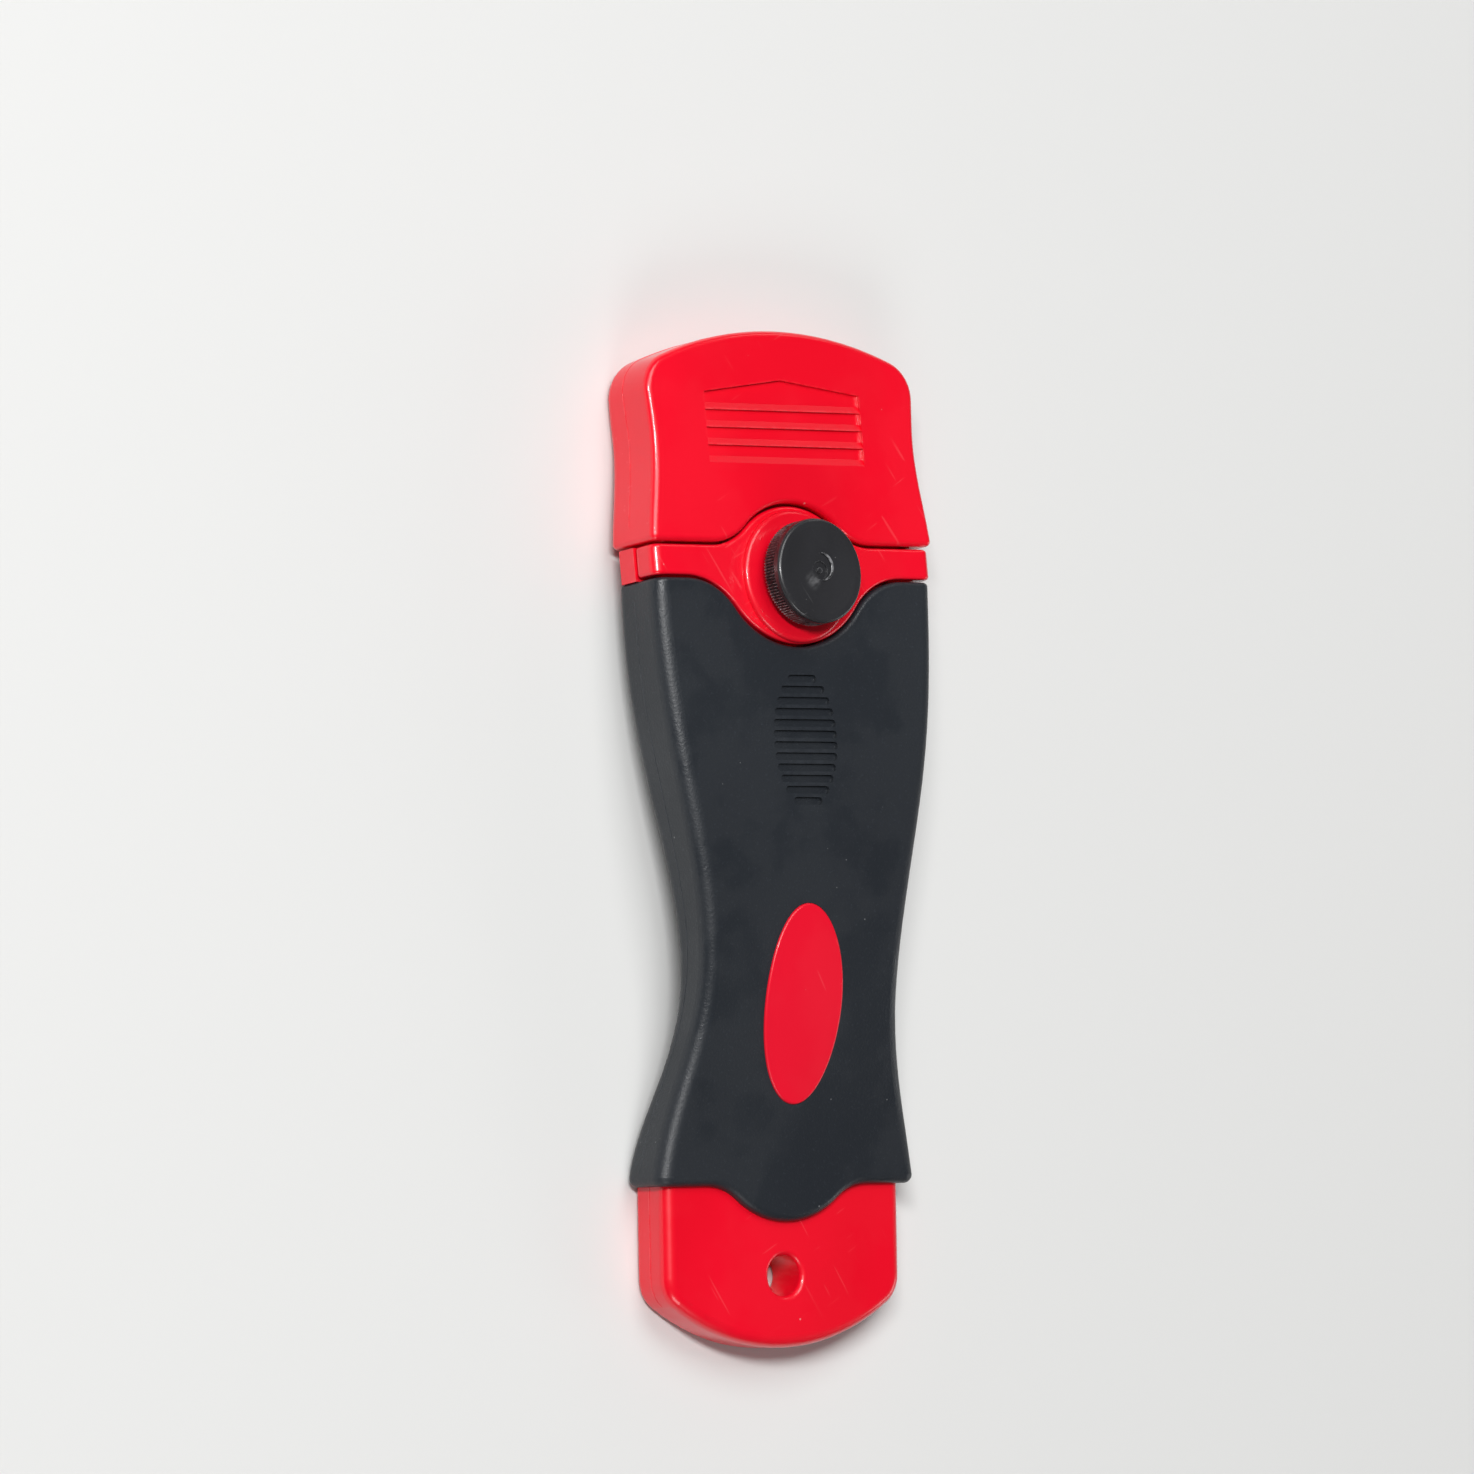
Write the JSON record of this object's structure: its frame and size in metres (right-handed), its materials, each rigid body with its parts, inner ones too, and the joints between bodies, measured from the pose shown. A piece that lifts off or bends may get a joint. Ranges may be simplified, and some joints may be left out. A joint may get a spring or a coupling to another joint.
{
  "type": "ceramic hob scraper",
  "caption": "Hob scraper with an arched soft-grip handle, a razor-type blade clamped in a flat head by a knurled knob, and a push-on blade guard.",
  "frame": {"origin": "bottom centre of the bounding box: the worktop under the scraper's middle as it lies on its back", "axes": "+Y from the tail towards the blade, +Z out of the front of the scraper, +X across it"},
  "size_m": [0.0466, 0.1326, 0.0174],
  "materials": {
    "red_plastic": "glossy moulded plastic",
    "red_guard": "glossy moulded plastic",
    "red_inlay": "glossy moulded plastic",
    "soft_grip": "satin soft-touch rubber",
    "knob_plastic": "satin moulded plastic",
    "blade_steel": "ground carbon steel",
    "plated_steel": "bright zinc plated steel"
  },
  "bodies": {
    "handle": {"handle_core": "red_plastic", "grip_sleeve": "soft_grip", "oval_inlay": "red_inlay", "clamp_nut": "plated_steel", "blade": "blade_steel", "blade_spine": "plated_steel"},
    "guard": {"blade_guard": "red_guard"},
    "clamp": {"clamp_plate": "red_plastic", "washer": "plated_steel"},
    "knob": {"knob": "knob_plastic", "knob_screw": "plated_steel"}
  },
  "joints": [
    {"name": "guard_slide", "type": "slide", "parent": "handle", "child": "guard", "axis": [0, 0.994, -0.1097], "range_m": [0, 0.035]},
    {"name": "clamp_lift", "type": "slide", "parent": "handle", "child": "clamp", "axis": [0, 0.1097, 0.994], "range_m": [0, 0.00105]},
    {"name": "knob_turn", "type": "hinge", "parent": "clamp", "child": "knob", "pos_m": [0, 0.03355, 0.00715], "axis": [0, 0.1097, 0.994], "range_deg": [0, 540]}
  ],
  "couplings": [
    {"joint": "knob_turn", "follows": "clamp_lift", "rad_per_m": 8976}
  ]
}
